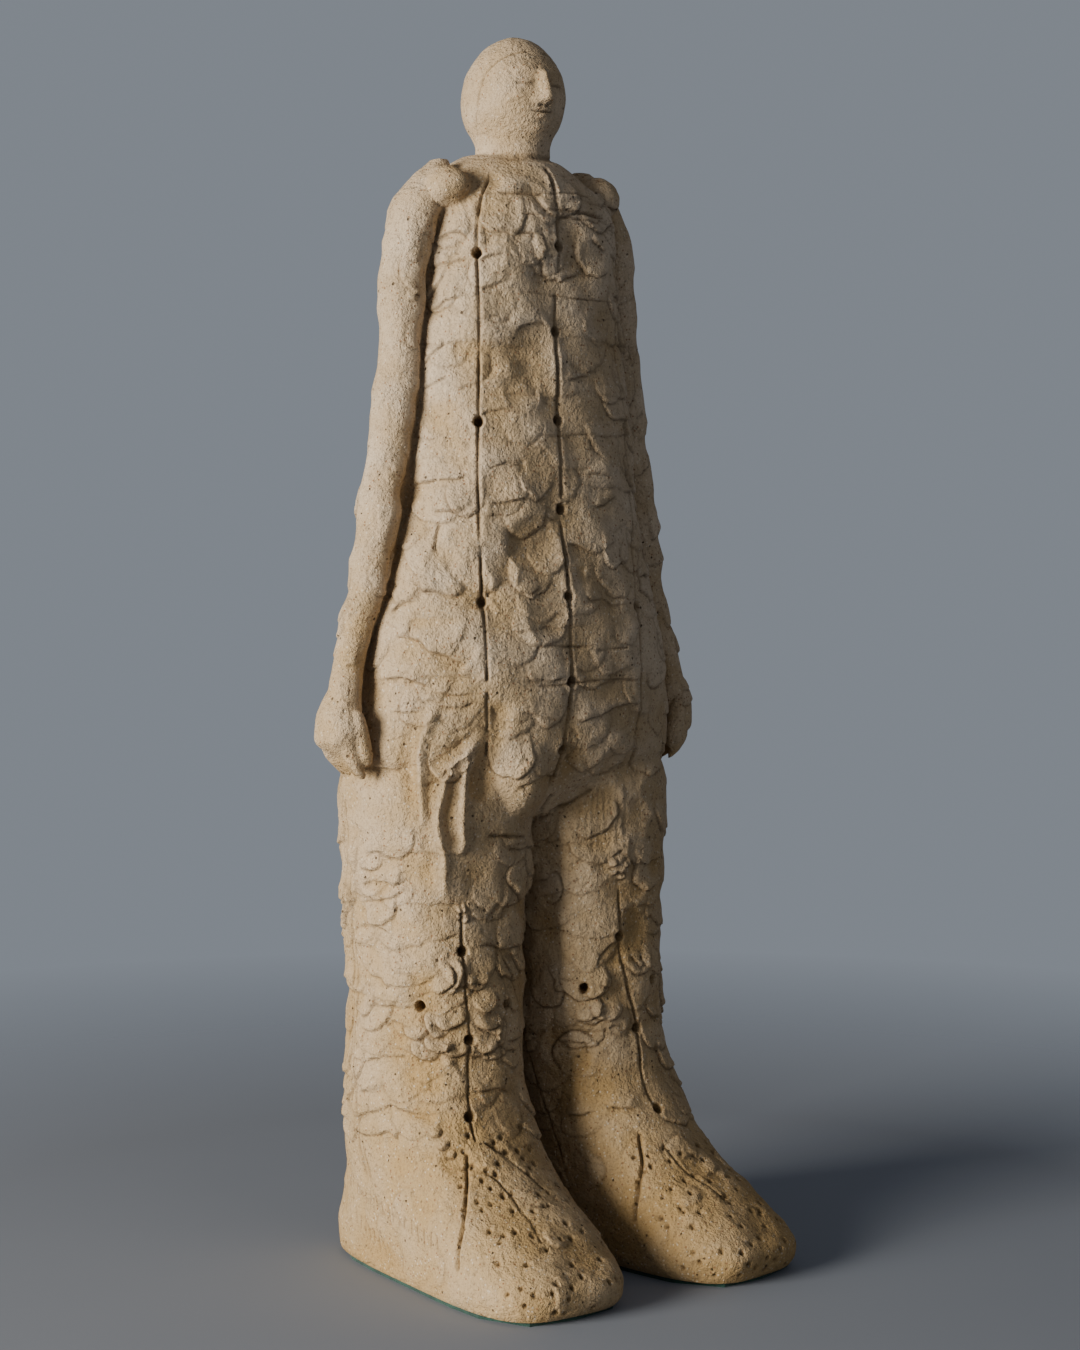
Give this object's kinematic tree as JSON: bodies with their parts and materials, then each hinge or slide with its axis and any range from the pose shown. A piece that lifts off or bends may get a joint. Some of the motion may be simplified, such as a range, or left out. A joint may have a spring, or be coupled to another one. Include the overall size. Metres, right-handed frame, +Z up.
{
  "type": "male figure statue",
  "caption": "Standing coil-built stoneware man, small head, bell-shaped scored trunk, thin arms at the sides, pillar legs and broad feet on felt pads; a free-standing sculpture.",
  "frame": {"origin": "on the floor, under the middle of the whole figure's box", "axes": "+Z up, -Y the way the figure faces, +X towards its left hand"},
  "size_m": [0.342, 0.2882, 0.948],
  "materials": {
    "stoneware": "unglazed buff stoneware with coarse grog, ochre stained low down",
    "felt": "dark green felt"
  },
  "bodies": {
    "root": {"figure": "stoneware", "right_foot_pad": "felt", "left_foot_pad": "felt"}
  },
  "joints": []
}
